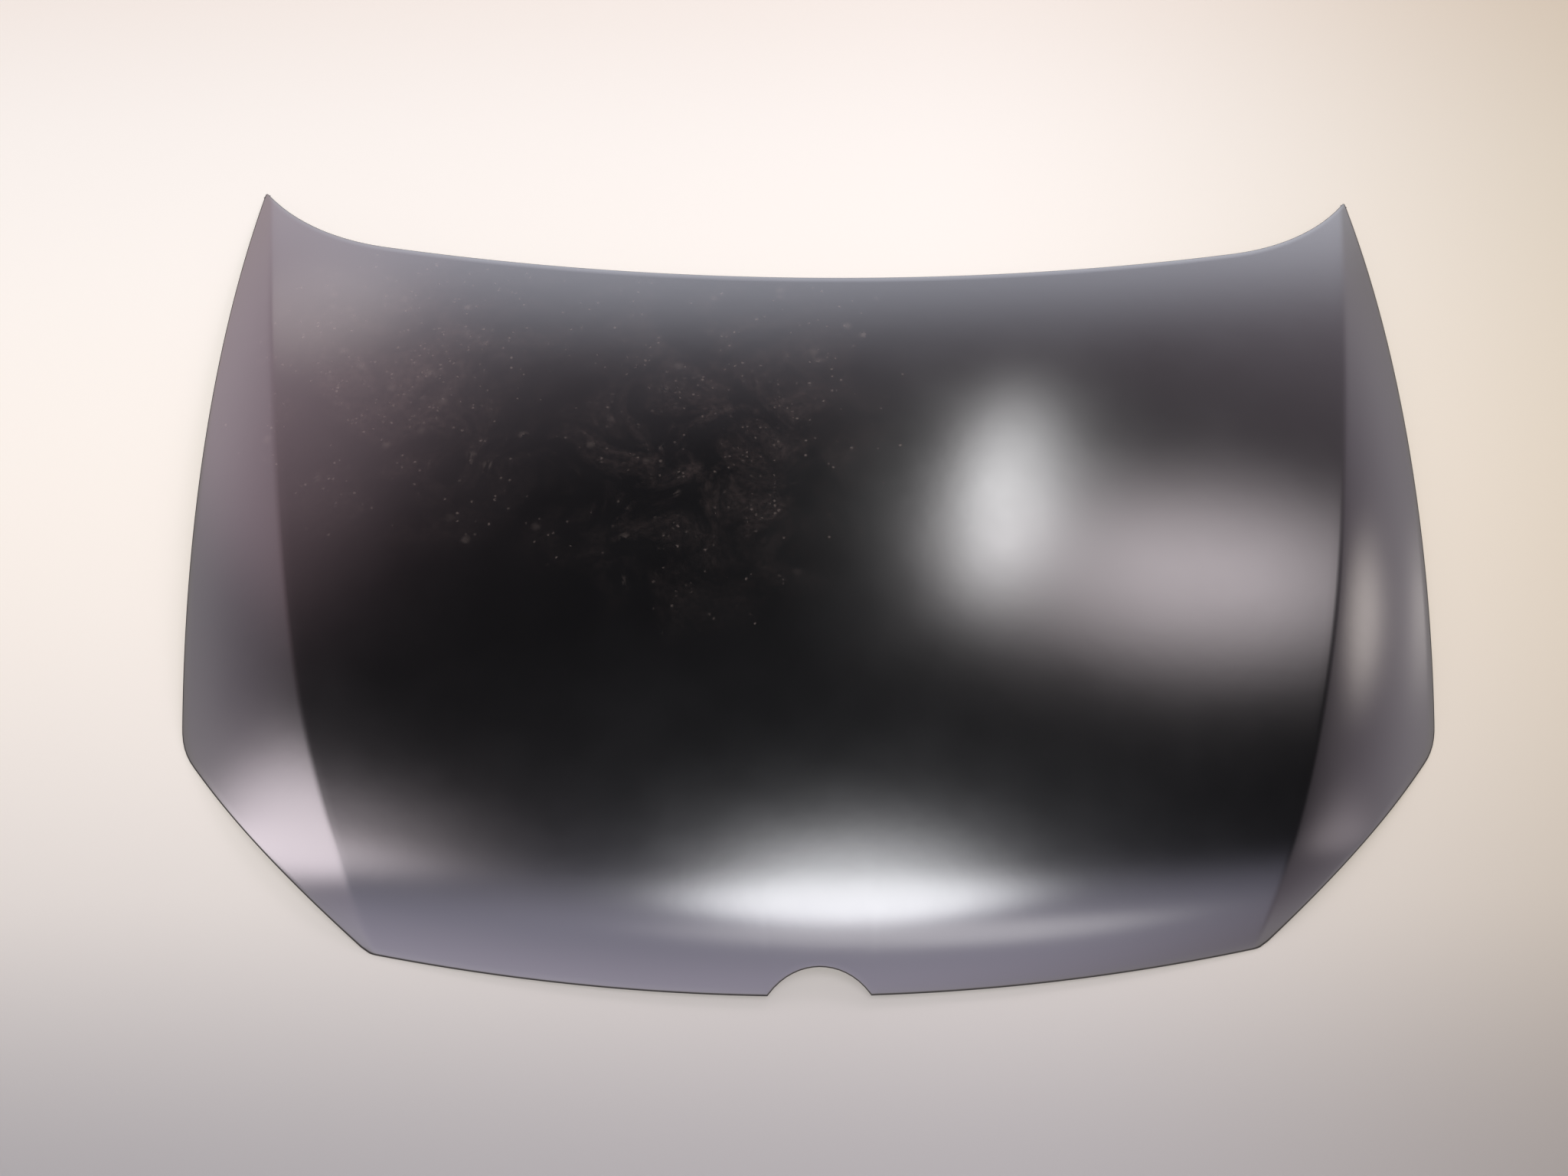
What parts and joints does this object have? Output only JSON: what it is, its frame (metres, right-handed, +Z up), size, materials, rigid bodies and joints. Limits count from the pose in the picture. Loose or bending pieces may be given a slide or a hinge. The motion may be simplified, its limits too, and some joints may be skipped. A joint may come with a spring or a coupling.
{
  "type": "car bonnet",
  "caption": "Pressed steel car bonnet with swept rear corners, side creases and a badge notch, hemmed round a ribbed inner panel with hinge and latch seats.",
  "frame": {"origin": "middle of the bonnet's bounding box in plan, on the floor it lies on", "axes": "+X across the car to its left side, +Y from the nose to the windscreen, +Z up out of the crown"},
  "size_m": [1.4514, 1.0976, 0.1365],
  "materials": {
    "skin_coat": "satin",
    "panel_coat": "satin",
    "plate_coat": "satin",
    "nut_steel": "satin",
    "mastic": "matte"
  },
  "bodies": {
    "root": {"hinge_left_nut_1": "nut_steel", "hinge_left_nut_2": "nut_steel", "hinge_left_plate": "plate_coat", "hinge_right_nut_1": "nut_steel", "hinge_right_nut_2": "nut_steel", "hinge_right_plate": "plate_coat", "inner_panel": "panel_coat", "latch_nut_1": "nut_steel", "latch_nut_2": "nut_steel", "latch_plate": "plate_coat", "mastic_dab_01": "mastic", "mastic_dab_02": "mastic", "mastic_dab_03": "mastic", "mastic_dab_04": "mastic", "mastic_dab_05": "mastic", "mastic_dab_06": "mastic", "mastic_dab_07": "mastic", "mastic_dab_08": "mastic", "mastic_dab_09": "mastic", "mastic_dab_10": "mastic", "mastic_dab_11": "mastic", "mastic_dab_12": "mastic", "mastic_dab_13": "mastic", "mastic_dab_14": "mastic", "mastic_dab_15": "mastic", "mastic_dab_16": "mastic", "mastic_dab_17": "mastic", "mastic_dab_18": "mastic", "outer_skin": "skin_coat", "prop_rod_plate": "plate_coat"}
  },
  "joints": []
}
